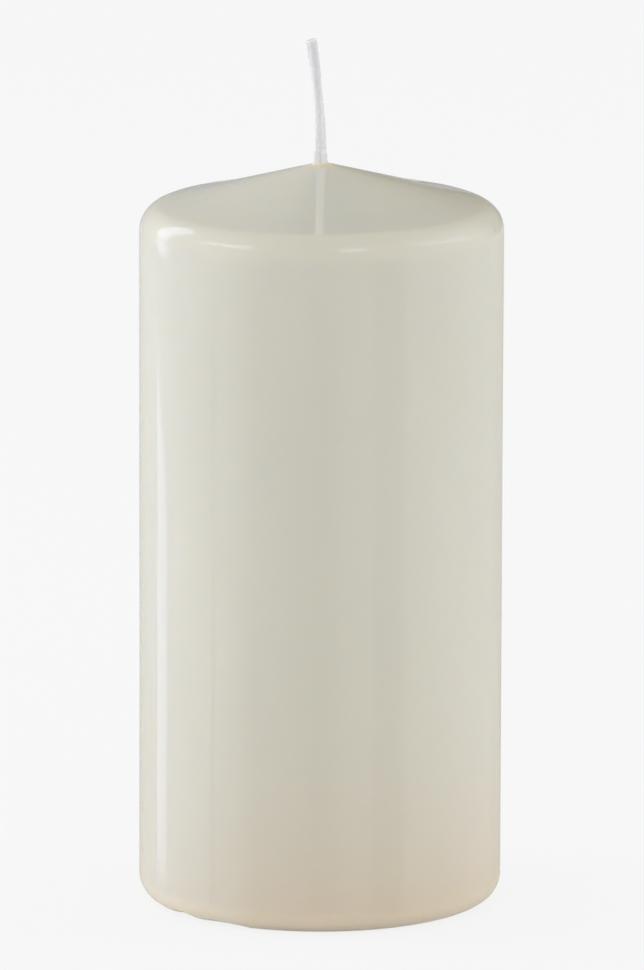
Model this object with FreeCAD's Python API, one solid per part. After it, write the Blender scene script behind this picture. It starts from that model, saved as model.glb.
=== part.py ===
"""A pressed and dipped pillar candle: the wax body, the flat braided wick, and the wick sustainer in its base.

Millimetres. The origin is the centre of the base, where the candle stands, and +Z is up.
The front is towards -Y: seen from there, the wick leans to the left and the foot is chipped at the left.
"""

import FreeCAD, Part
import math
import os

V = FreeCAD.Vector
UP = V(0, 0, 1)

# Wax body: overall size, then its outline from the tip down to the base
body_diameter = 58.0
body_height = 119.6  # from the base to the point of the cone
tip_slope = 15.6  # degrees below level, on the cone round the wick
tip_cone_radius = 17.2  # where the straight cone ends
saddle_radius = 90.0  # of the hollow arc that eases the cone out
saddle_slope = 12.9  # the flattest slope, between the cone and the shoulder
shoulder_radius = 4.25
foot_radius = 3.8

# Shallow chips in the foot's edge: angle round the axis from +X, length along the edge, depth
foot_chips = ((-143.0, 6.2, 0.45), (-125.7, 7.5, 0.35))
chip_slope = 70.0  # how far below level a chip faces, degrees

# Wick: a flat plait, stiff with wax, straight inside the candle, twisting and leaning above it
wick_width = 2.15
wick_thickness = 1.35
wick_corner_radius = 0.42
wick_offset = 0.2  # how far it stands left of the axis
wick_turn = 63.0  # of its broad side inside the candle, degrees from +X
wick_free_height = 17.9  # from the film's edge to the cut end
wick_twist = 52.0  # degrees over the free height, anticlockwise seen from above
wick_lean = 1.6  # how far left the cut end stands of the straight run
wick_lean_power = 1.85  # 1 would lean in a straight line, 2 on an even bend
wick_cut_slope = 12.0  # degrees that the end cut is off square
wick_spare = 0.12  # share of the free height that is lofted past the cut
wick_sections = 7

# Film of dip wax that climbs the wick, and its fillet on the cone
film_thickness = 0.12
film_height = 1.7
film_fillet = 0.5

# Wick sustainer: a disc stamped from thin tinplate, with a drawn neck crimped on the wick
sustainer_diameter = 16.0
sustainer_thickness = 0.3
sustainer_neck_height = 6.0  # above the disc
sustainer_neck_root = 0.6  # height of the slope between the disc and the neck
sustainer_recess = 0.4  # from the base up to the disc

# Clearances
wick_gap = 0.03  # between the wick and what it runs through
sustainer_gap = 0.05  # between the sustainer and the wax

body_radius = body_diameter / 2
film_top = body_height + film_height
disc_top = sustainer_recess + sustainer_thickness
neck_top = disc_top + sustainer_neck_height
neck_growth = wick_gap + sustainer_thickness
neck_reach = wick_offset + wick_width / 2 + neck_growth + sustainer_neck_root
overrun = 1.0  # how far a cutting shape runs past what it cuts
tolerance = 0.01  # for picking out edges by their height


def slope_arc(start, start_slope, radius, end_slope):
    """An arc on the XZ plane that leaves start at one slope and ends at the other, and its end point.

    Slopes are degrees below level. It bends down where end_slope is the steeper, up where it is the flatter.
    """
    side = 1 if end_slope > start_slope else -1
    first = math.radians(start_slope)

    def point(slope):
        here = math.radians(slope)
        along = side * radius * (math.sin(here) - math.sin(first))
        down = side * radius * (math.cos(first) - math.cos(here))
        return V(start.x + along, 0, start.z - down)

    end = point(end_slope)
    return Part.Arc(start, point((start_slope + end_slope) / 2), end).toShape(), end


def body_outline():
    """Half of the body's section, a closed wire on the XZ plane from the axis round to the axis."""
    point = V(0, 0, body_height)
    cone_end = point - V(-tip_cone_radius, 0, tip_cone_radius * math.tan(math.radians(tip_slope)))
    saddle, saddle_end = slope_arc(cone_end, tip_slope, saddle_radius, saddle_slope)

    # The shoulder starts where, tangent to the slope, it will just reach the wall
    slope = math.radians(saddle_slope)
    shoulder_x = body_radius - shoulder_radius * (1 - math.sin(slope))
    fall = (shoulder_x - saddle_end.x) * math.tan(slope)
    shoulder_start = V(shoulder_x, 0, saddle_end.z - fall)
    shoulder, wall_top = slope_arc(shoulder_start, saddle_slope, shoulder_radius, 90.0)

    wall_foot = V(body_radius, 0, foot_radius)
    base_edge = V(body_radius - foot_radius, 0, 0)
    foot_middle = V(base_edge.x, 0, foot_radius) + V(1, 0, -1).normalize() * foot_radius
    edges = [
        Part.makeLine(point, cone_end),
        saddle,
        Part.makeLine(saddle_end, shoulder_start),
        shoulder,
        Part.makeLine(wall_top, wall_foot),
        Part.Arc(wall_foot, foot_middle, base_edge).toShape(),
        Part.makeLine(base_edge, V(0, 0, 0)),
        Part.makeLine(V(0, 0, 0), point),
    ]
    return Part.Wire(edges)


def wick_section(centre, growth, turn, axis):
    """The wick's section, a rounded rectangle grown by an offset, as a wire square to the axis given."""
    corner = wick_corner_radius + growth
    flat_x = wick_width / 2 + growth - corner
    flat_y = wick_thickness / 2 + growth - corner
    corners = []
    for quarter, (side_x, side_y) in enumerate(((1, 1), (-1, 1), (-1, -1), (1, -1))):
        points = []
        for angle in (0, 45, 90):
            a = math.radians(90 * quarter + angle)
            points.append(V(side_x * flat_x + corner * math.cos(a), side_y * flat_y + corner * math.sin(a), 0))
        corners.append(Part.Arc(*points).toShape())
    edges = []
    for arc, following in zip(corners, corners[1:] + corners[:1]):
        edges.append(arc)
        edges.append(Part.makeLine(arc.lastVertex().Point, following.firstVertex().Point))
    wire = Part.Wire(edges)
    turned = FreeCAD.Rotation(UP, axis).multiply(FreeCAD.Rotation(UP, turn))
    wire.Placement = FreeCAD.Placement(centre, turned)
    return wire


def wick_run(bottom, top, growth):
    """The wick's straight run, or the room for it, between two heights."""
    face = Part.Face(wick_section(V(-wick_offset, 0, bottom), growth, wick_turn, UP))
    return face.extrude(V(0, 0, top - bottom))


def wick_centre(share):
    """The middle of the free wick at a share of its height."""
    return V(-wick_offset - wick_lean * share**wick_lean_power, 0, film_top + wick_free_height * share)


def wick_direction(share):
    """The direction in which the free wick runs there."""
    slope = wick_lean * wick_lean_power * share ** (wick_lean_power - 1) / wick_free_height
    return V(-slope, 0, 1).normalize()


def foot_chip(angle, length, depth):
    """The ball whose overlap with the foot's rounded edge is one shallow chip of that length and depth."""
    ball_radius = 1 / (8 * depth / length**2 - 1 / body_radius)
    reach = foot_radius + ball_radius - depth
    out = body_radius - foot_radius + reach * math.cos(math.radians(chip_slope))
    height = foot_radius - reach * math.sin(math.radians(chip_slope))
    a = math.radians(angle)
    return Part.makeSphere(ball_radius, V(out * math.cos(a), out * math.sin(a), height))


def level_edges(shape, low, high, reach):
    """The edges of a shape that lie between two heights and within a reach of the axis."""
    found = []
    for edge in shape.Edges:
        box = edge.BoundBox
        far = max(abs(box.XMin), abs(box.XMax), abs(box.YMin), abs(box.YMax))
        if low - tolerance < box.ZMin and box.ZMax < high + tolerance and far < reach:
            found.append(edge)
    return found


def sustainer_outside(growth):
    """The sustainer's outside, disc and neck with the slope between them, grown by an offset."""
    disc_base = V(-wick_offset, 0, sustainer_recess)
    disc = Part.makeCylinder(sustainer_diameter / 2 + growth, sustainer_thickness + growth, disc_base)
    neck = wick_run(sustainer_recess, neck_top + growth, neck_growth + growth)
    outside = disc.fuse(neck).removeSplitter()
    root = level_edges(outside, disc_top + growth, disc_top + growth, neck_reach)
    return outside.makeChamfer(sustainer_neck_root, root)


def make_wax_body():
    turned = Part.Face(body_outline()).revolve(V(0, 0, 0), UP, 360)
    film = wick_run(body_height / 2, film_top, wick_gap + film_thickness)
    body = turned.fuse(film)

    # The film's foot is the only run of edges so near the wick and so near the point of the cone
    film_reach = wick_offset + wick_width / 2 + wick_gap + film_thickness
    foot_low = body_height - film_reach * math.tan(math.radians(tip_slope))
    body = body.makeFillet(film_fillet, level_edges(body, foot_low, body_height, film_reach))

    for angle, length, depth in foot_chips:
        body = body.cut(foot_chip(angle, length, depth))

    room = wick_run(sustainer_recess, film_top + overrun, wick_gap)
    mouth_radius = sustainer_diameter / 2 + sustainer_gap
    mouth = Part.makeCylinder(mouth_radius, overrun + sustainer_recess, V(-wick_offset, 0, -overrun))
    return body.cut(room.fuse([mouth, sustainer_outside(sustainer_gap)]))


def make_wick():
    """The straight run from the sustainer's underside to the film's edge, and the free end, cut askew."""
    straight = wick_run(sustainer_recess, film_top, 0.0)
    sections = []
    for k in range(wick_sections):
        share = (1 + wick_spare) * k / (wick_sections - 1)
        turn = wick_turn + wick_twist * share
        sections.append(wick_section(wick_centre(share), 0.0, turn, wick_direction(share)))
    free = Part.makeLoft(sections, True)

    end = wick_direction(1.0)
    cut_turn = math.degrees(math.atan2(-end.x, end.z)) + wick_cut_slope
    waste_size = 4 * wick_width
    waste = Part.makeBox(waste_size, waste_size, waste_size, V(-waste_size / 2, -waste_size / 2, 0))
    waste.Placement = FreeCAD.Placement(wick_centre(1.0), FreeCAD.Rotation(V(0, -1, 0), cut_turn))
    return straight.fuse(free.cut(waste)).removeSplitter()


def make_wick_sustainer():
    """The stamped disc and its crimped neck, open for the wick, with the same sheet all the way round the root."""
    room = wick_run(-overrun, neck_top + overrun, wick_gap)
    stamped = sustainer_outside(0.0).cut(room)
    root = level_edges(stamped, sustainer_recess, sustainer_recess, neck_reach)
    return stamped.makeChamfer(sustainer_neck_root + sustainer_thickness * (2 - math.sqrt(2)), root)


def main():
    os.makedirs("parts", exist_ok=True)
    pieces = {
        "wax_body": make_wax_body(),
        "wick": make_wick(),
        "wick_sustainer": make_wick_sustainer(),
    }
    for name, shape in pieces.items():
        print(name, "solids", len(shape.Solids), "valid", shape.isValid(), "volume", round(shape.Volume, 2))
        shape.Solids[0].exportStep(f"parts/{name}.step")


main()
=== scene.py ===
import math

import bpy
import numpy as np
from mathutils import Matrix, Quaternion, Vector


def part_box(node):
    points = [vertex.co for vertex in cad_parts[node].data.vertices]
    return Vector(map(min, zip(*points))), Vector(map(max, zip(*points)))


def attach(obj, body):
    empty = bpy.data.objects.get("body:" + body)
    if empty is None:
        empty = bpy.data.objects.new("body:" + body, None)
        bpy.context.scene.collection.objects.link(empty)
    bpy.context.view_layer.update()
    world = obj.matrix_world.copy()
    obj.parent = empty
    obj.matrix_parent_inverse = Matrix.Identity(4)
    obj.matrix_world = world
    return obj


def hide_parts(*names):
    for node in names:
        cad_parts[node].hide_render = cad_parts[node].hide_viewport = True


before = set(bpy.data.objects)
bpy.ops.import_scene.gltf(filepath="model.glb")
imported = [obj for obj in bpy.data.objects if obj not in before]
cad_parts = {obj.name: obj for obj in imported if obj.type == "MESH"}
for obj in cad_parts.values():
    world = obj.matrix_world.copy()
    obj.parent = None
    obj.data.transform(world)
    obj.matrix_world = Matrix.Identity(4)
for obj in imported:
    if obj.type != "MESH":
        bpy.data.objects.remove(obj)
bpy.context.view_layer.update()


# Wick
# A flat cotton plait, bleached, primed with wax and drawn straight through the whole candle. Above the wax
# it swells a little, leans left and twists, anticlockwise seen from above, up to an end cut a little askew.

# Sizes in this file are millimetres and degrees, and grid_mesh turns millimetres into metres
wick_width = 2.15
wick_thickness = 1.35
wick_corner = 0.42
wick_left = 0.2  # how far the straight run stands left of the axis
wick_turn = 63.0
wick_low = 1000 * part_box("wick")[0][2]
film_top = 1000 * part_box("wax_body")[1][2]  # where the free part starts
wick_free = 17.9
wick_twist = 52.0
wick_lean = 1.6
wick_lean_power = 1.85
wick_cut_slope = 12.0
wick_cut_fade = 9.0  # the cut's slope dies out over one part in this many of the free height
wick_columns = 96
wick_rows = 300  # along the free part
run_rows = 14  # along the straight run below it
strand_radius = 0.42
strand_sway = 0.6  # how far a strand moves across the plait, each way
strand_rise = 0.2  # and through it
plait_pitch = 6.5
plait_show = 0.06  # the share of the strands' relief that the wax leaves visible
wick_swell = 0.07  # how much thicker each side is where the plait is free
wick_splay = 0.06  # and how much more at the cut end
swell_start, swell_full = 0.015, 0.05  # shares of the free height
relief_start, relief_full = 0.06, 0.16  # the film of wax hides the strands at the foot
cut_relief = 0.02  # how far the strands stand out of the cut end
cut_step = 0.02  # how far the end lies below the cut, and its outer rings twice as far
cut_round = 0.05  # how far its edge is rounded down


def bar_reach(angle, growth=0.0):
    """Distance from the wick's middle to its edge in each direction: a rounded rectangle grown by an offset.

    A ray meets the broad side at half the thickness / |sin| and the narrow side at half the width / |cos|.
    Between them it meets the corner's circle, at p.d + sqrt((p.d)^2 - p^2 + radius^2) for its middle p.
    """
    c, s = np.abs(np.cos(angle)), np.abs(np.sin(angle))
    flat_x, flat_y = wick_width / 2 - wick_corner, wick_thickness / 2 - wick_corner
    radius = wick_corner + growth
    along = flat_x * c + flat_y * s
    corner = along + np.sqrt(np.maximum(along**2 - flat_x**2 - flat_y**2 + radius**2, 0))
    broad = (flat_y + radius) / np.maximum(s, 1e-9)
    narrow = (flat_x + radius) / np.maximum(c, 1e-9)
    return np.where(narrow * s <= flat_y, narrow, np.where(broad * c <= flat_x, broad, corner))


def strand_middles(height):
    """Where the plait's three strands cross a section: sway * sin t across it, rise * sin 2t through it.

    t is one turn for each pitch of height, and each strand runs a third of a turn behind the one before.
    """
    turn = 2 * np.pi * (height[None] / plait_pitch + np.arange(3).reshape(3, 1, 1) / 3)
    return strand_sway * np.sin(turn), strand_rise * np.sin(2 * turn)


def plait_reach(angle, height):
    """Distance from the wick's middle to the outside of its strands: the furthest round that a ray leaves.

    It leaves a strand's round at m.d + sqrt((m.d)^2 - m^2 + radius^2), for the round's middle m.
    """
    x, y = strand_middles(height)
    along = x * np.cos(angle) + y * np.sin(angle)
    inside = np.maximum(along**2 - x**2 - y**2 + strand_radius**2, 0)
    return (along + np.sqrt(inside)).max(axis=0)


def wick_points(share, angle, reach, lift):
    """Points of the wick at a share of its free height, at a reach from its middle in each direction.

    The middle moves left by lean * share^power as it rises. The section stands square to that curve and is
    turned by twist * share. A lift moves its points along the curve, and so does the cut's slope near the
    end. Below a share of 0 the wick runs straight down.
    """
    free = np.maximum(share, 0)
    tilt = np.arctan(wick_lean * wick_lean_power * free ** (wick_lean_power - 1) / wick_free)
    turned = angle + np.radians(wick_turn + wick_twist * free)
    across = reach * np.cos(turned)
    near_cut = np.clip(1 - wick_cut_fade * (1 - share), 0, 1) ** 2
    lift = lift + across * math.tan(math.radians(wick_cut_slope)) * near_cut
    x = -wick_left - wick_lean * free**wick_lean_power + across * np.cos(tilt) - lift * np.sin(tilt)
    z = film_top + wick_free * share + across * np.sin(tilt) + lift * np.cos(tilt)
    return np.stack(np.broadcast_arrays(x, reach * np.sin(turned), z), -1)


def grid_mesh(name, points, ends=None, sharp=40.0):
    """A smooth mesh from rows of points in millimetres, each row a closed ring, as a new object.

    Each four neighbours make a face, which looks outwards where rows run down and rings anticlockwise. Two
    end points close the first and last ring with triangles. Without them the last ring joins the first.
    """
    rows, columns = points.shape[:2]
    ring = np.arange(rows * columns).reshape(rows, columns)
    if ends is None:
        ring = np.vstack((ring, ring[:1]))
    here, below = ring[:-1], ring[1:]
    quads = np.stack((here, below, np.roll(below, -1, 1), np.roll(here, -1, 1)), -1)
    faces = quads.reshape(-1, 4).tolist()
    vertices = points.reshape(-1, 3)
    if ends is not None:
        vertices = np.vstack((vertices, ends))
        top = np.full(columns, rows * columns)
        faces += np.stack((top, ring[0], np.roll(ring[0], -1)), -1).tolist()
        faces += np.stack((ring[-1], top + 1, np.roll(ring[-1], -1)), -1).tolist()
    mesh = bpy.data.meshes.new(name)
    mesh.from_pydata((vertices / 1000).tolist(), [], faces)
    mesh.shade_smooth()
    mesh.set_sharp_from_angle(angle=math.radians(sharp))
    piece = bpy.data.objects.new(name, mesh)
    bpy.context.scene.collection.objects.link(piece)
    return piece


# Shares of the reach on the two ends: from the cut end's middle outwards, and inwards on the lower end
cut_rings = np.array([0.15, 0.32, 0.5, 0.68, 0.84, 0.93, 0.98])
low_rings = np.array([0.97, 0.6, 0.2])
low_share = (wick_low - film_top) / wick_free
share = np.concatenate((
    np.ones(cut_rings.size),
    np.linspace(1, 0, wick_rows),
    np.linspace(0, low_share, run_rows)[1:],
    np.full(low_rings.size, low_share),
))[:, None]
size = np.ones(share.size)
size[: cut_rings.size] = cut_rings
size[-low_rings.size :] = low_rings
size = size[:, None]
wick_angle = np.radians(np.arange(wick_columns) * 360 / wick_columns)[None, :]
wick_height = wick_free * share + 0 * wick_angle
bare = np.clip((share - relief_start) / (relief_full - relief_start), 0, 1)
bar = bar_reach(wick_angle)
swell = wick_swell * np.clip((share - swell_start) / (swell_full - swell_start), 0, 1)
swell = swell + wick_splay * np.maximum(share, 0) ** 4
wick_reach = bar + swell + plait_show * bare * (plait_reach(wick_angle, wick_height) - bar)
strand_x, strand_y = strand_middles(wick_height)
section_x, section_y = size * bar * np.cos(wick_angle), size * bar * np.sin(wick_angle)
from_strand = (strand_x - section_x) ** 2 + (strand_y - section_y) ** 2
dome = np.sqrt(np.maximum(1 - from_strand / strand_radius**2, 0)).max(axis=0)
on_cut = (np.arange(share.size) < cut_rings.size)[:, None]
cut_lift = cut_relief * dome - cut_step * (1 + (size > 0.9))
lift = np.where(on_cut, cut_lift, -cut_round * (share == 1))
wick_grid = wick_points(share, wick_angle, size * wick_reach, lift)
middle = wick_points(np.array([[1.0], [share[-1, 0]]]), np.zeros((1, 1)), 0.0, 0.0)[:, 0]
wick = grid_mesh("plaited_wick", wick_grid, ends=middle)

# The wick's points before its lean and twist, for the lines in its material
straight_x, straight_y = size * wick_reach * np.cos(wick_angle), size * wick_reach * np.sin(wick_angle)
straight = np.stack(np.broadcast_arrays(straight_x, straight_y, wick_height), -1)
straight = np.vstack((straight.reshape(-1, 3), [[0, 0, wick_height[0, 0]], [0, 0, wick_height[-1, 0]]]))
plait_place = wick.data.attributes.new("plait_place", "FLOAT_VECTOR", "POINT")
plait_place.data.foreach_set("vector", straight.astype(np.float32).ravel())


class Tone:
    """A socket in a material's nodes.

    Sums, differences, products, quotients and powers of tones and numbers add the Math nodes that work them
    out, and make adds a node of any other kind.
    """

    def __init__(self, socket):
        self.socket = socket

    def make(self, kind, settings, values, output=0):
        """A new node of a kind, with its settings first and then its sockets' values or links, as a tone."""
        tree = self.socket.id_data
        node = tree.nodes.new(kind)
        for name, setting in settings.items():
            setattr(node, name, setting)
        for name, value in values.items():
            if isinstance(value, Tone):
                tree.links.new(value.socket, node.inputs[name])
            else:
                node.inputs[name].default_value = value
        return Tone(node.outputs[output])

    def math(self, operation, first, second):
        return self.make("ShaderNodeMath", {"operation": operation}, {0: first, 1: second})

    def __add__(self, other):
        return self.math("ADD", self, other)

    __radd__ = __add__

    def __rsub__(self, other):
        return self.math("SUBTRACT", other, self)

    def __mul__(self, other):
        return self.math("MULTIPLY", self, other)

    __rmul__ = __mul__

    def __truediv__(self, other):
        return self.math("DIVIDE", self, other)

    def __pow__(self, other):
        return self.math("POWER", self, other)

    def __rpow__(self, other):
        return self.math("POWER", other, self)

    def step(self, low, high):
        """0 where this is at low or past it, 1 at high, with a smooth rise between them."""
        ends = {"Value": self, "From Min": low, "From Max": high}
        return self.make("ShaderNodeMapRange", {"interpolation_type": "SMOOTHSTEP"}, ends)

    def blend(self, first, second):
        """The first colour where this is 0, the second where it is 1."""
        return self.make("ShaderNodeMix", {"data_type": "RGBA"}, {0: self, 6: first, 7: second}, output=2)

    def noise(self, scale, detail=2.0):
        """Soft noise from 0 to 1 at these coordinates, where scale is its number of blobs to a unit."""
        return self.make("ShaderNodeTexNoise", {}, {"Vector": self, "Scale": scale, "Detail": detail})

    def stretch(self, *factors):
        """These coordinates multiplied by a factor on each axis."""
        return self.make("ShaderNodeVectorMath", {"operation": "MULTIPLY"}, {0: self, 1: factors})

    def part(self, axis):
        """One of the coordinates X, Y and Z."""
        return self.make("ShaderNodeSeparateXYZ", {}, {0: self}, output=axis)


def finish(name, **constants):
    """A new material with one Principled shader, whose constants are set on its own sockets."""
    material = bpy.data.materials.new(name)
    material.use_nodes = True
    shader = material.node_tree.nodes["Principled BSDF"]
    for socket, value in constants.items():
        shader.inputs[socket.replace("_", " ")].default_value = value
    return material, Tone(shader.outputs[0]), shader.inputs


def link(tone, socket):
    """Feeds a tone into a shader's socket."""
    tone.socket.id_data.links.new(tone.socket, socket)


def waxed_cotton():
    """Bleached cotton, stiff and slightly shiny with wax: fine lines along it and faint patches of wax.

    Light passes through its free part. Where the film covers it, a second shader without that takes over, in
    a lighter grey that is painted light against the shade at the film's edge.
    """
    material, shader, inputs = finish(
        "waxed_cotton",
        Subsurface_Weight=1.0,
        Subsurface_Radius=(1.0, 1.0, 1.0),
        Subsurface_Scale=0.0025,
        IOR=1.45,
        Specular_IOR_Level=0.35,
    )
    place = shader.make("ShaderNodeAttribute", {"attribute_name": "plait_place"}, {}, output=1)
    lines = place.stretch(5, 5, 0.35).noise(1.0, detail=3.0)
    patches = place.stretch(0.6, 0.6, 0.25).noise(1.0)
    up = place.part(2)
    colour = lines.step(0.3, 0.7).blend((0.575, 0.575, 0.575, 1), (0.6, 0.6, 0.6, 1))
    colour = (0.8 * up.step(6, 16)).blend(colour, (0.53, 0.53, 0.525, 1))  # darker towards the cut end
    roughness = 0.42 + 0.2 * patches
    link(colour, inputs["Base Color"])
    link(roughness, inputs["Roughness"])
    bump = shader.make("ShaderNodeBump", {}, {"Strength": 0.2, "Distance": 0.00003, "Height": lines})
    link(bump, inputs["Normal"])
    # Painted light: a lighter grey under the film and just above it, against the shade where the wick meets
    # the film
    lightened_at_film = lines.step(0.3, 0.7).blend((0.715, 0.715, 0.71, 1), (0.74, 0.74, 0.735, 1))
    covered = shader.make(
        "ShaderNodeBsdfPrincipled", {}, {"Base Color": lightened_at_film, "Roughness": roughness, "IOR": 1.45}
    )
    bare = up.step(-0.2, 1.4)
    surface = shader.make("ShaderNodeMixShader", {}, {0: bare, 1: covered, 2: shader})
    link(surface, material.node_tree.nodes["Material Output"].inputs["Surface"])
    return material


wick.data.materials.append(waxed_cotton())
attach(wick, "root")
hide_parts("wick")


# Wick sustainer
# A disc stamped from tinplate 0.3 mm thick, with a neck drawn up from its middle and crimped flat on the
# wick. It is pressed into the base of the candle and holds the wick upright there.

sheet = 0.3
disc_radius = 8.0
disc_inner = 3.2  # a circle on the disc, just outside the neck's bend
edge_in, edge_down = 0.04, 0.05  # the disc's upper edge is rounded by this much
disc_low = 1000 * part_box("wick_sustainer")[0][2]
neck_top = 1000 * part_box("wick_sustainer")[1][2]
neck_bend = 0.6  # inside radius of the bend between the disc and the neck
wick_room = 0.03
sustainer_columns = 144


def ring_points(angle, growth, roundness, radius, middle, height):
    """A ring that is the wick's outline grown by an offset at roundness 0, a circle of a radius at 1.

    Between them the two distances from the middle are mixed. The middle lies on the X axis.
    """
    bar = bar_reach(angle - math.radians(wick_turn), growth)
    reach = (1 - roundness) * bar + roundness * radius
    x = middle + reach * np.cos(angle)
    return np.stack(np.broadcast_arrays(x, reach * np.sin(angle), height), -1)


quarter = np.radians(np.linspace(0, 90, 9))
rim = np.radians([150, 90, 30])  # the neck's rim, half round
outer_bend, inner_bend = neck_bend, neck_bend + sheet
half_sheet = sheet / 2
disc_rings = np.array([
    # Radius, and height above the disc's underside, from the neck's root out to the edge and back below
    [disc_inner, sheet],
    [disc_radius - half_sheet, sheet],
    [disc_radius - edge_in, sheet - edge_down],
    [disc_radius, half_sheet],
    [disc_radius - half_sheet, 0],
    [disc_inner, 0],
])
neck_outside, neck_inside = np.zeros(rim.size + quarter.size), np.zeros(quarter.size)
sheet_growth = np.concatenate((
    wick_room + half_sheet + half_sheet * np.cos(rim),
    wick_room + sheet + outer_bend * (1 - np.cos(quarter)),
    np.zeros(len(disc_rings)),
    wick_room + inner_bend * (1 - np.cos(quarter[::-1])),
))[:, None]
sheet_roundness = np.concatenate((neck_outside, np.ones(len(disc_rings)), neck_inside))[:, None]
sheet_radius = np.concatenate((neck_outside, disc_rings[:, 0], neck_inside))[:, None]
sheet_height = np.concatenate((
    neck_top - half_sheet + half_sheet * np.sin(rim),
    disc_low + sheet + outer_bend * (1 - np.sin(quarter)),
    disc_low + disc_rings[:, 1],
    disc_low + inner_bend * (1 - np.sin(quarter[::-1])),
))[:, None]
sheet_angle = np.radians(np.arange(sustainer_columns) * 360 / sustainer_columns)[None, :]
sustainer_grid = ring_points(
    sheet_angle, sheet_growth, sheet_roundness, sheet_radius, -wick_left, sheet_height
)
sustainer = grid_mesh("stamped_sustainer", sustainer_grid)


def tinplate():
    """Bright tinplate: fine grain along the rolling direction and faint scuffs from the stamping tool."""
    material, shader, inputs = finish("tinplate", Metallic=1.0, IOR=1.5)
    place = shader.make("ShaderNodeTexCoord", {}, {}, output=3)
    grain = place.stretch(300, 9000, 9000).noise(1.0, detail=3.0)
    scuffs = place.stretch(700, 700, 700).noise(1.0, detail=4.0).step(0.52, 0.75)
    colour = (0.6 * grain + 0.4 * scuffs).blend((0.60, 0.60, 0.59, 1), (0.72, 0.72, 0.71, 1))
    link(colour, inputs["Base Color"])
    link(0.24 + 0.14 * scuffs + 0.06 * grain, inputs["Roughness"])
    bump = shader.make("ShaderNodeBump", {}, {"Strength": 0.4, "Distance": 0.00001, "Height": grain})
    link(bump, inputs["Normal"])
    return material


sustainer.data.materials.append(tinplate())
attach(sustainer, "root")
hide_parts("wick_sustainer")


# Wax body
# Pressed paraffin, dipped in ivory wax that set to a glossy coat, one piece with it. It has the press's cone
# and rounded shoulder and foot, a film of the dip up the wick, and two shallow chips in the foot's edge.

body_radius = 29.0
point_height = 119.6
tip_slope = 15.6
tip_reach = 17.2  # how far out the straight cone goes
saddle_radius = 90.0
saddle_slope = 12.9
shoulder_radius = 4.25
foot_radius = 3.8
top_tilt = 0.005  # the top stands a little higher at the right
recess_radius = 8.05
recess_height = 0.75
pocket_growth = 0.38  # of the room for the neck
pocket_height = 6.75
film_edge = 121.05  # height of the film's edge, between its sides
film_climb = 0.4  # how much higher it is at the left, and lower at the right
film_wave = 0.08  # and how far it waves, three times round
film_start = 0.01  # growth of the wick's outline at the inside of the lip
film_growth = 0.15
film_lip = 0.02
film_fillet = 0.5
cone_start = 1.7  # radius where the first rings round the wick leave the fillet
wax_columns = 480
lip_rows, wall_rows, fillet_rows = 6, 8, 8
round_rows, round_power = 14, 0.7  # over which rings the wick's outline turns into a circle, and how fast
cone_rows, saddle_rows, slope_rows, shoulder_rows = 24, 8, 6, 40
side_rows, foot_rows, base_rows = 43, 25, 10
chips = ((-143.0, 6.2, 0.45), (-125.7, 7.5, 0.35))  # angle round the axis from +X, length, depth
chip_slope = 70.0
# Beads of the film: angle, height, how far they stand out
beads = ((0.0, 120.5, 0.16), (180.0, 121.25, 0.08))
bead_width, bead_height = 22.0, 0.22  # in degrees, and in mm
tilt_low, tilt_rise = 90.0, 18.0  # the top's tilt starts at the first height and is whole this much above
room_middle, room_top = 60.0, 119.0  # heights of rings in the room for the wick
# Unevenness of the dipped coat: depth, swells round the candle, length of a swell down it, phase
swells = ((0.035, 2, 230.0, 0.4), (0.020, 3, 140.0, 2.1), (0.011, 5, 90.0, 4.0), (0.006, 9, 55.0, 1.2))
ripples = ((0.003, 14, 38.0, 5.1), (0.002, 23, 24.0, 2.7))
swell_reach = 20.0  # distance from the axis from which the swells have their full depth
foot_fade = 0.5  # angle over which they die out where the foot turns under, in radians
# Small marks in the coat: angle, height, size across, size down, depth, where a negative depth is a bump
marks = (
    (-125.2, 110.6, 0.35, 0.5, 0.05),
    (-124.0, 110.7, 0.5, 0.4, -0.05),
    (-16.0, 110.1, 0.7, 0.6, 0.05),
    (-23.0, 107.3, 0.5, 1.6, 0.04),
)

tip, saddle = math.radians(tip_slope), math.radians(saddle_slope)
cone_height = point_height - tip_reach * math.tan(tip)
saddle_middle = tip_reach + saddle_radius * math.sin(tip), cone_height + saddle_radius * math.cos(tip)
saddle_end = saddle_middle[0] - saddle_radius * math.sin(saddle)
saddle_height = saddle_middle[1] - saddle_radius * math.cos(saddle)
shoulder_start = body_radius - shoulder_radius * (1 - math.sin(saddle))
shoulder_height = saddle_height - (shoulder_start - saddle_end) * math.tan(saddle)
shoulder_middle = body_radius - shoulder_radius, shoulder_height - shoulder_radius * math.cos(saddle)


def top_height(reach):
    """Height of the candle's top at a distance from its axis.

    A straight cone, a hollow arc, a straight slope and the shoulder's full arc, each tangent to the next. An
    arc's height is its middle's height plus, where it is full, or minus sqrt(radius^2 - distance from it^2).
    """

    def arc(middle, radius):
        return np.sqrt(np.maximum(radius**2 - (reach - middle[0]) ** 2, 0))

    return np.select(
        [reach < tip_reach, reach < saddle_end, reach < shoulder_start],
        [
            point_height - reach * math.tan(tip),
            saddle_middle[1] - arc(saddle_middle, saddle_radius),
            saddle_height - (reach - saddle_end) * math.tan(saddle),
        ],
        shoulder_middle[1] + arc(shoulder_middle, shoulder_radius),
    )


def chipped(points):
    """Points of the foot with the chips cut: a point inside a chip's ball moves out to the ball's face.

    The ball has the radius that makes its overlap with the foot's rounded edge as long and deep as the chip.
    """
    for turn, length, depth in chips:
        ball = 1 / (8 * depth / length**2 - 1 / body_radius)
        reach = foot_radius + ball - depth
        out = body_radius - foot_radius + reach * math.cos(math.radians(chip_slope))
        a = math.radians(turn)
        low = foot_radius - reach * math.sin(math.radians(chip_slope))
        away = points - (out * math.cos(a), out * math.sin(a), low)
        distance = np.linalg.norm(away, axis=-1, keepdims=True)
        points = points + away * np.maximum(ball / distance - 1, 0)
    return points


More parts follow.
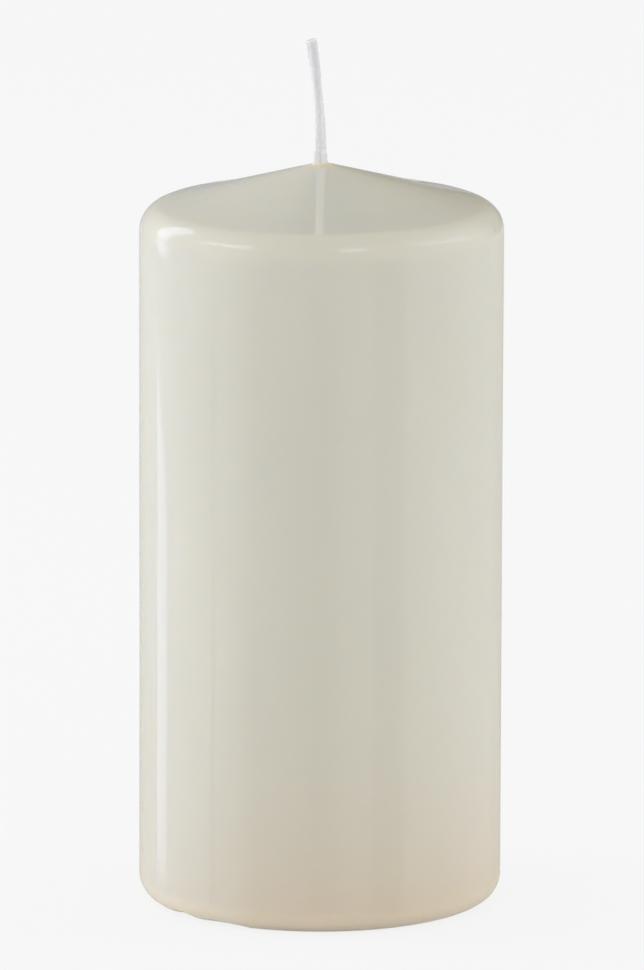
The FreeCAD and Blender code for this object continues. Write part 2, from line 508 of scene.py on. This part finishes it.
def uneven(angle, down, reach):
    """How far the coat stands out: swells that run round the candle and slowly turn on their way down it.

    Each is depth * cos(number * angle + turns down + phase), less near the axis, where they would crowd.
    """
    total = np.zeros(np.broadcast_shapes(angle.shape, down.shape))
    for depth, number, length, phase in swells + ripples:
        total = total + depth * np.cos(number * angle + 2 * np.pi * down / length + phase)
    return total * np.clip(reach / swell_reach, 0, 1) ** 2


angle = np.radians(np.arange(wax_columns) * 360 / wax_columns)[None, :]
slopes = np.radians(np.linspace(saddle_slope, 90, shoulder_rows))
bend_reach = shoulder_middle[0] + shoulder_radius * np.sin(slopes)
fillet_angle = np.radians(np.linspace(0, 90 - tip_slope, fillet_rows + 1))
fillet_drop = film_fillet * math.tan(math.radians(45 - tip_slope / 2))
lip = np.radians(np.linspace(180, 0, lip_rows))

# The top, from the film's lip on the wick outwards: growth of the wick's outline, then circles
growth = np.concatenate((
    film_start + film_lip + film_lip * np.cos(lip),
    np.linspace(film_start + 2 * film_lip, film_growth, wall_rows + 1)[1:],
    film_growth + film_fillet * (1 - np.cos(fillet_angle[1:])),
))
neck_rows = growth.size
cone_reach = cone_start * (tip_reach / cone_start) ** np.linspace(0, 1, cone_rows)
out_reach = np.concatenate((
    cone_reach,
    np.linspace(tip_reach, saddle_end, saddle_rows)[1:],
    np.linspace(saddle_end, shoulder_start, slope_rows)[1:],
    bend_reach[1:],
))
roundness = np.concatenate((np.zeros(neck_rows), np.ones(out_reach.size)))
roundness[neck_rows : neck_rows + round_rows] = np.linspace(0, 1, round_rows) ** round_power
growth = np.concatenate((growth, np.full(out_reach.size, growth[-1])))
radius = np.concatenate((np.full(neck_rows, cone_start), out_reach))
growth, roundness, radius = growth[:, None], roundness[:, None], radius[:, None]
top = ring_points(angle, growth, roundness, radius, -wick_left * (1 - roundness), 0.0)
reach = np.hypot(top[..., 0], top[..., 1])
top[..., 2] = top_height(reach)

# The film's wall stands on the cone's height where it meets the wick, with a fillet between them
film_ring = ring_points(angle, film_growth, 0.0, 0.0, -wick_left, 0.0)
root = top_height(np.hypot(film_ring[..., 0], film_ring[..., 1]))
edge = film_edge - film_climb * np.cos(angle) + film_wave * np.sin(3 * angle + 1)
top[:lip_rows, :, 2] = edge - film_lip + film_lip * np.sin(lip)[:, None]
wall_share = np.linspace(0, 1, wall_rows + 1)[1:, None]
wall = (1 - wall_share) * (edge - film_lip) + wall_share * (root + fillet_drop)
top[lip_rows : lip_rows + wall_rows, :, 2] = wall
fillet = root + fillet_drop - film_fillet * np.sin(fillet_angle[1:, None])
top[lip_rows + wall_rows : neck_rows, :, 2] = fillet

# Two beads where the film dried, at the right and at the left
on_film = (roundness == 0) * (growth > film_start + 2 * film_lip)
for turn, high, bulge in beads:
    away = np.degrees(np.angle(np.exp(1j * (angle - math.radians(turn))))) / bead_width
    bead = bulge * np.exp(-(away**2) - ((top[..., 2] - high) / bead_height) ** 2) * on_film
    top[..., 0] += bead * np.cos(angle)
    top[..., 1] += bead * np.sin(angle)

# The wall and the foot, then the base and the room for the sustainer and the wick, up to the film's lip
foot = np.radians(np.linspace(0, 90, foot_rows))
side_height = np.concatenate((
    np.linspace(shoulder_middle[1], foot_radius, side_rows)[1:],
    foot_radius * (1 - np.sin(foot[1:])),
))
side_reach = np.concatenate((
    np.full(side_rows - 1, body_radius),
    body_radius - foot_radius * (1 - np.cos(foot[1:])),
))
side = ring_points(angle, 0.0, 1.0, side_reach[:, None], 0.0, side_height[:, None])
base_share = np.linspace(0, 1, base_rows)[1:, None]
base_reach = body_radius - foot_radius - base_share * (body_radius - foot_radius - recess_radius)
base = ring_points(angle, 0.0, 1.0, base_reach, -wick_left * base_share, 0.0)
room_rings = np.array([
    # Growth of the wick's outline, roundness, radius, height
    [0, 1, recess_radius, recess_height],
    [0, 1, disc_inner, recess_height],
    [pocket_growth + neck_bend, 0, 0, recess_height],
    [pocket_growth, 0, 0, recess_height + neck_bend],
    [pocket_growth, 0, 0, pocket_height],
    [wick_room, 0, 0, pocket_height],
    [wick_room, 0, 0, room_middle],
    [wick_room, 0, 0, room_top],
])
room_growth, room_roundness, room_radius, room_height = room_rings.T[:, :, None]
room = ring_points(angle, room_growth, room_roundness, room_radius, -wick_left, room_height)

# The coat's unevenness and marks move the outside along its own direction out, square to the outline
outside = np.concatenate((top, side))
slope = np.concatenate((
    np.full(neck_rows + cone_reach.size, tip),
    np.linspace(tip, saddle, saddle_rows)[1:],
    np.full(slope_rows - 1, saddle),
    slopes[1:],
    np.full(side_reach.size - foot.size + 1, math.pi / 2),
    math.pi / 2 + foot[1:],
))[:, None]
steps = np.linalg.norm(np.diff(outside[:, :1], axis=0), axis=-1)
down = np.concatenate((np.zeros((1, 1)), np.cumsum(steps, axis=0)))
stand = uneven(angle, down, np.hypot(outside[..., 0], outside[..., 1]))
stand = stand * np.clip((math.pi - slope) / foot_fade, 0, 1)
for turn, high, wide, tall, depth in marks:
    apart = body_radius * np.angle(np.exp(1j * (angle - math.radians(turn))))
    stand = stand - depth * np.exp(-((apart / wide) ** 2) - ((outside[..., 2] - high) / tall) ** 2)
outside += stand[..., None] * np.stack(
    np.broadcast_arrays(np.sin(slope) * np.cos(angle), np.sin(slope) * np.sin(angle), np.cos(slope)), -1
)
near_top = np.clip((outside[..., 2] - tilt_low) / tilt_rise, 0, 1)
outside[..., 2] += top_tilt * outside[..., 0] * near_top**2 * (3 - 2 * near_top)
outside[-foot.size :] = chipped(outside[-foot.size :])
wax = grid_mesh("dipped_wax", np.concatenate((outside, base, room)))


def ivory_wax():
    """Glossy ivory wax that lets light in: faintly clouded and warmer round the wick, with painted light
    over the top and on the foot's edge, and painted shade, darker and warmer, towards the foot.

    The film on the wick is too thin to glow by itself, so a second shader without that takes over there.
    """
    material, shader, inputs = finish(
        "ivory_wax",
        Subsurface_Weight=1.0,
        Subsurface_Radius=(1.0, 0.8, 0.55),
        Subsurface_Scale=0.004,
        IOR=1.45,
    )
    place = shader.make("ShaderNodeTexCoord", {}, {}, output=3)
    height = 1000 * place.part(2)
    clouds = place.stretch(45, 45, 14).noise(1.0, detail=3.0)
    colour = clouds.step(0.3, 0.7).blend((0.606, 0.594, 0.515, 1), (0.628, 0.614, 0.534, 1))
    # Painted light: a lighter tone over the shoulder and the top
    colour = (0.5 * height.step(108, 113)).blend(colour, (0.66, 0.645, 0.55, 1))
    # Painted shade: darker and warmer towards the foot, less on the left, where the left lamp lights the
    # wall
    left = place.part(0).step(-0.004, -0.024)
    painted_foot_shade = 2.718 ** (height / -17) * (1 - 0.6 * left)
    colour = painted_foot_shade.blend(colour, (0.64, 0.548, 0.424, 1))
    painted_edge_light = (0.4 + 0.5 * left) * height.step(4.5, 0.5)  # painted light on the foot's thin edge, where light comes through it, more on the lamp-lit left
    colour = painted_edge_light.blend(colour, (0.75, 0.66, 0.52, 1))
    x, y = 1000 * place.part(0) + wick_left, 1000 * place.part(1)
    from_wick = (x * x + y * y) ** 0.5
    stain = from_wick.step(3.4, 1.6) * height.step(116, 118)
    colour = stain.blend(colour, (0.74, 0.65, 0.485, 1))
    colour = height.step(119.3, 119.9).blend(colour, (0.685, 0.685, 0.675, 1))
    roughness = 0.02 + 0.015 * clouds + 0.25 * height.step(0.3, 0.0)
    skin = place.stretch(260, 260, 160).noise(1.0)
    bump = shader.make("ShaderNodeBump", {}, {"Strength": 0.5, "Distance": 0.000006, "Height": skin})
    link(colour, inputs["Base Color"])
    link(roughness, inputs["Roughness"])
    link(bump, inputs["Normal"])
    film_values = {"Base Color": colour, "Roughness": 0.45, "IOR": 1.45}
    film = shader.make("ShaderNodeBsdfPrincipled", {}, film_values)
    thin = from_wick.step(2.4, 1.7) * height.step(118.8, 119.4)
    surface = shader.make("ShaderNodeMixShader", {}, {0: thin, 1: shader, 2: film})
    link(surface, material.node_tree.nodes["Material Output"].inputs["Surface"])
    return material


wax.data.materials.append(ivory_wax())
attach(wax, "root")
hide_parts("wax_body")


# Studio
# A white floor and background, two large soft lamps at the sides, and the soft boxes, white cards and dark
# flags that the candle's gloss mirrors. The camera stands two metres in front, a little above.

white = 0.922
floor_white = 0.943
floor_reach = 4.0
floor_height = -0.00002  # just below the base, so that the two don't flicker


def sheet_mesh(name, points):
    """An open mesh from a grid of points in metres, with a UV map that runs from 0 to 1 each way."""
    rows, columns = points.shape[:2]
    corner = np.arange(rows * columns).reshape(rows, columns)
    quads = (corner[:-1, :-1], corner[:-1, 1:], corner[1:, 1:], corner[1:, :-1])
    faces = np.stack(quads, -1).reshape(-1, 4)
    mesh = bpy.data.meshes.new(name)
    mesh.from_pydata(points.reshape(-1, 3).tolist(), [], faces.tolist())
    u, v = np.meshgrid(np.linspace(0, 1, columns), np.linspace(0, 1, rows))
    layer = mesh.uv_layers.new(name="place")
    place = np.stack((u.ravel()[faces.ravel()], v.ravel()[faces.ravel()]), -1)
    layer.data.foreach_set("uv", place.ravel())
    thing = bpy.data.objects.new(name, mesh)
    bpy.context.scene.collection.objects.link(thing)
    return thing


def white_floor():
    """White paper. Seen directly it is mostly its own even white, with some of the real shading left."""
    material = bpy.data.materials.new("white_paper")
    material.use_nodes = True
    nodes = material.node_tree.nodes
    nodes.remove(nodes["Principled BSDF"])
    output = Tone(nodes["Material Output"].inputs["Surface"])
    rays = output.make("ShaderNodeLightPath", {}, {})
    matt = rays.make("ShaderNodeBsdfDiffuse", {}, {"Color": (0.86, 0.86, 0.86, 1)})
    even = rays.make("ShaderNodeEmission", {}, {"Color": (1, 1, 1, 1), "Strength": floor_white})
    mixed = rays.make("ShaderNodeMixShader", {}, {0: 0.88 * rays, 1: matt, 2: even})
    link(mixed, output.socket)
    return material


floor_ends = np.array([-floor_reach, floor_reach])
floor_points = np.stack((*np.meshgrid(floor_ends, floor_ends), np.full((2, 2), floor_height)), -1)
floor = sheet_mesh("floor", floor_points)
floor.data.materials.append(white_floor())
floor.visible_glossy = False

world = bpy.data.worlds.new("studio")
bpy.context.scene.world = world
world.use_nodes = True
background = world.node_tree.nodes["Background"]
background.inputs["Color"].default_value = (1, 1, 1, 1)
sky_level = 1.56  # the light from level directions
sky_top = 0.54  # and from straight above
sky_gloss = 0.5  # what the gloss mirrors above the table where no card stands
table_gloss = 0.63  # and below the table's height
light = Tone(background.inputs["Strength"])
rays = light.make("ShaderNodeLightPath", {}, {})
ray_kinds = ("Is Camera Ray", "Is Glossy Ray", "Is Transmission Ray")
seen, glossy, through = (Tone(rays.socket.node.outputs[kind]) for kind in ray_kinds)
seen = rays.math("MAXIMUM", seen, through)
direction = rays.make("ShaderNodeTexCoord", {}, {})
lit = sky_level + (sky_top - sky_level) * direction.part(2).step(0.0, 1.0)
mirrored = sky_gloss + (table_gloss - sky_gloss) * direction.part(2).step(-0.02, -0.1)
unseen = glossy * mirrored + (1 - glossy) * lit
link(seen * white + (1 - seen) * unseen, light.socket)


def lamp(name, azimuth, elevation, distance, width, height, strength, colour):
    """A soft lamp, a rectangle that faces the candle. Azimuth 0 is in front and 90 at the right."""
    data = bpy.data.lights.new(name, "AREA")
    data.shape = "RECTANGLE"
    data.size, data.size_y = width, height
    data.color = colour
    data.energy = strength * width * height * math.pi
    thing = bpy.data.objects.new(name, data)
    a, e = math.radians(azimuth), math.radians(elevation)
    out = np.array([math.sin(a) * math.cos(e), -math.cos(a) * math.cos(e), math.sin(e)])
    thing.location = distance * out + (0, 0, point_height / 2000)
    thing.rotation_euler = (math.radians(90 - elevation), 0, a)
    thing.visible_glossy = False
    bpy.context.scene.collection.objects.link(thing)


lamp("lamp_left", -100, 10, 0.9, 0.4, 0.7, 5.4, (0.84, 0.88, 1.08))
lamp("lamp_right", 100, 10, 0.9, 0.4, 0.7, 2.2, (1.0, 1.03, 1.2))


# Colours: of the soft boxes and white cards, of the flags, and of the right and the left of what is behind
cool = (0.74, 0.78, 1, 1)
grey = (1, 1, 1, 1)
warm = (1, 0.88, 0.55, 1)
paper = (1, 0.97, 0.86, 1)
card_columns, card_rows = 24, 12


def card(name, colour, strength, low, high, soft=(0.15, 0.15), distance=0.4):
    """A soft box, white card or dark flag that only the gloss shows: part of a cylinder round the axis.

    Low and high are its bottom and top edges, each as azimuth and elevation at the left and then at the
    right, seen from the candle's shoulder. Azimuth 0 is in front and 90 at the right. A point's azimuth and
    tangent of elevation are mixed from the four corners. It fades over the soft shares of its size.
    """
    u, v = np.linspace(0, 1, card_columns), np.linspace(0, 1, card_rows)[:, None]
    low, high = np.radians(low), np.radians(high)
    azimuth = (1 - v) * (low[0] + (low[2] - low[0]) * u) + v * (high[0] + (high[2] - high[0]) * u)
    tangent_low, tangent_high = np.tan(low[1::2]), np.tan(high[1::2])
    rise = (1 - v) * (tangent_low[0] + (tangent_low[1] - tangent_low[0]) * u)
    rise = rise + v * (tangent_high[0] + (tangent_high[1] - tangent_high[0]) * u)
    out = np.stack((np.sin(azimuth), -np.cos(azimuth), rise), -1)
    thing = sheet_mesh(name, distance * out + (0, 0, shoulder_middle[1] / 1000))
    material = bpy.data.materials.new(name)
    material.use_nodes = True
    nodes = material.node_tree.nodes
    nodes.remove(nodes["Principled BSDF"])
    output = Tone(nodes["Material Output"].inputs["Surface"])
    place = output.make("ShaderNodeTexCoord", {}, {}, output=2)
    across, up = place.part(0), place.part(1)
    fade = across.step(0, soft[0]) * across.step(1, 1 - soft[0])
    fade = fade * up.step(0, soft[1]) * up.step(1, 1 - soft[1])
    clear = output.make("ShaderNodeBsdfTransparent", {}, {})
    bright = output.make("ShaderNodeEmission", {}, {"Color": colour, "Strength": strength})
    link(output.make("ShaderNodeMixShader", {}, {0: fade, 1: clear, 2: bright}), output.socket)
    material.cycles.emission_sampling = "NONE"
    thing.data.materials.append(material)
    thing.visible_camera = False
    thing.visible_diffuse = False
    thing.visible_transmission = False
    thing.visible_shadow = False


card("soft_box_left", cool, 3.0, (-127, 8.5, -111.3, 8.5), (-141, 42.5, -113, 42.5), (0.04, 0.004))
card(
    "soft_box_left_side",
    cool,
    2.1,
    (-123, -10.57, -111.2, -10.57),
    (-124.6, 8.8, -111.2, 8.8),
    (0.05, 0.004),
    0.405,
)
card(
    "soft_box_left_low",
    cool,
    1.95,
    (-124.6, -27.2, -111.9, -27.2),
    (-124.6, -11.7, -111.9, -16),
    (0.06, 0.18),
)
card("white_card_left", cool, 4.0, (-90, 29, -50, 29), (-90, 34, -50, 50))
card("white_card_middle", cool, 4.0, (11.5, 32, 32.5, 32), (11.5, 52, 32.5, 52))
card("white_card_right", cool, 2.2, (64, 34, 110, 8), (64, 44, 110, 24))
card("flag_left", grey, 0.35, (-154, -11.4, -130, -11.4), (-154, 12.6, -136, 12.6))
card("flag_left_side", grey, 0.02, (-108, -11.8, -76, -11.8), (-108, 23.5, -76, 23.5))
card("flag_right", grey, 0.05, (124, -4, 151, -4), (124, 30, 151, 30))
card("wall_behind_left", paper, 0.46, (-184, -7, -150, -7), (-184, 50, -150, 50), (0.15, 0.03), 0.62)
card("wall_behind_right", warm, 0.24, (124, -7, 184, -7), (124, 50, 184, 50), (0.15, 0.03), 0.6)
card("table_behind", paper, 0.6, (124, -36, 236, -36), (124, -7, 236, -7), (0.15, 0.03), 0.5)
card("dark_behind", grey, 0.42, (165, -6, 195, -6), (165, 3, 195, 3), (0.1, 0.3), 0.45)
card("dark_above_behind", grey, 0.12, (169, 26, 189, 26), (169, 56, 189, 56), (0.4, 0.1), 0.45)
card("grey_left", grey, 0.4, (-49, -40, -34, -40), (-49, -6, -34, -6))
card("grey_front", grey, 0.35, (-7, -40, 11, -40), (-7, -6, 11, -6))
card("dark_right", grey, 0.1, (31, -40, 55, -40), (31, -6, 55, -6))
card("slit_left", grey, 0.0, (-71.6, -40, -67.8, -40), (-71.6, -9, -67.8, -9))

# The camera looks at a point on the axis, and its picture is turned a sixth of a degree
camera_rise = 11.9
camera_distance = 2.0
camera_aim = np.array([0.00018, 0.0, 0.06706])
camera_turn = 0.003
camera_data = bpy.data.cameras.new("camera")
camera_data.lens = 465.0
camera_data.clip_end = 20.0
camera = bpy.data.objects.new("camera", camera_data)
camera_tilt = math.radians(camera_rise)
camera.location = camera_aim + camera_distance * np.array([0, -math.cos(camera_tilt), math.sin(camera_tilt)])
camera.rotation_mode = "QUATERNION"
level_up = Quaternion((1, 0, 0), math.pi / 2 - camera_tilt)
camera.rotation_quaternion = level_up @ Quaternion((0, 0, 1), camera_turn)
bpy.context.scene.collection.objects.link(camera)
bpy.context.scene.camera = camera
bpy.context.scene.view_settings.view_transform = "Standard"
